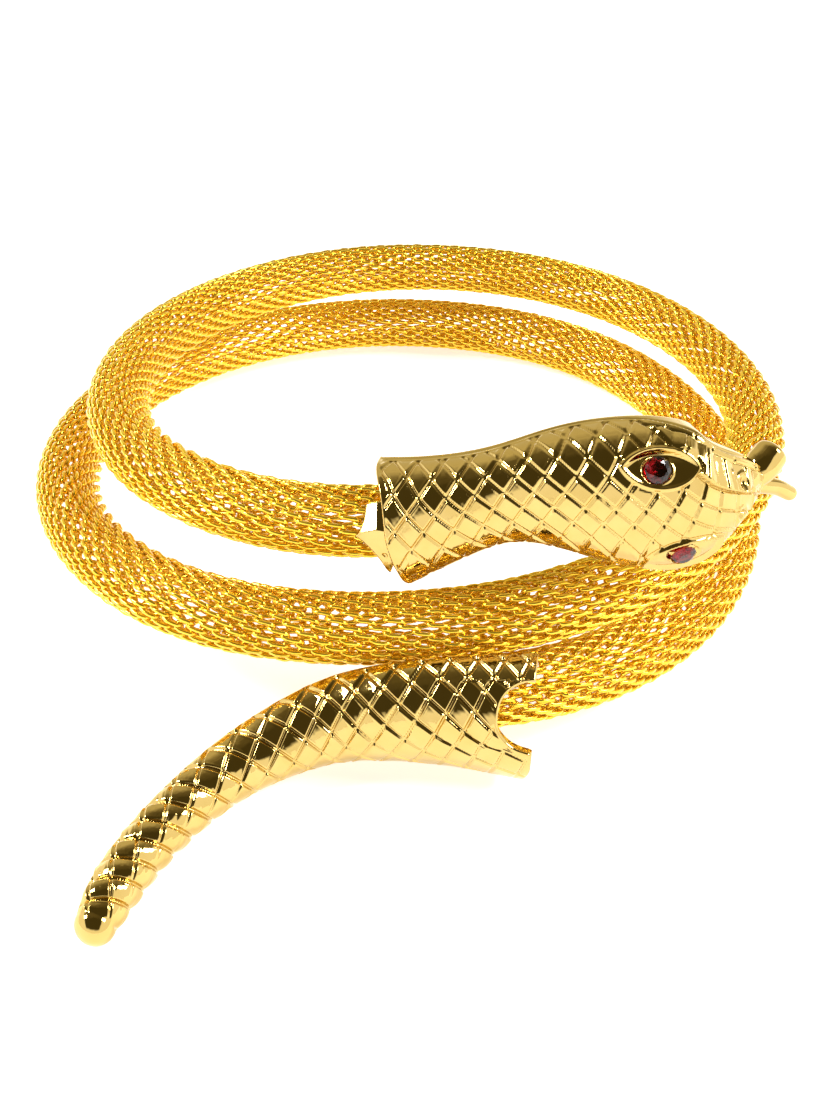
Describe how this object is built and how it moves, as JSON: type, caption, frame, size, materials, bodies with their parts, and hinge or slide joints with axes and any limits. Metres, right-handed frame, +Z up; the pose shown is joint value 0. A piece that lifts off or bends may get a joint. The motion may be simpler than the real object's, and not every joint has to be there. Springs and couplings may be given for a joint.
{
  "type": "snake bracelet",
  "caption": "Coil bracelet: a hollow wire-mesh tube goes twice round the wrist, with a cast snake's head on one end and a cast tapering tail on the other.",
  "frame": {"origin": "on the coil's axis at the level of the surface that the bracelet lies on", "axes": "+Z up along the coil's axis, through which the wrist goes; -Y towards the front, where the head and tail are; the head points along +X"},
  "size_m": [0.0854, 0.1036, 0.0319],
  "materials": {
    "mesh_gold": "bright gold-plated wire",
    "cast_gold": "mirror-polished gold plate",
    "red_stone": "faceted dark red glass"
  },
  "bodies": {
    "root": {"mesh_tube": "mesh_gold", "snake_head": "cast_gold", "snake_tail": "cast_gold", "head_collar": "cast_gold", "eye_stone_upper": "red_stone", "eye_stone_lower": "red_stone"}
  },
  "joints": []
}
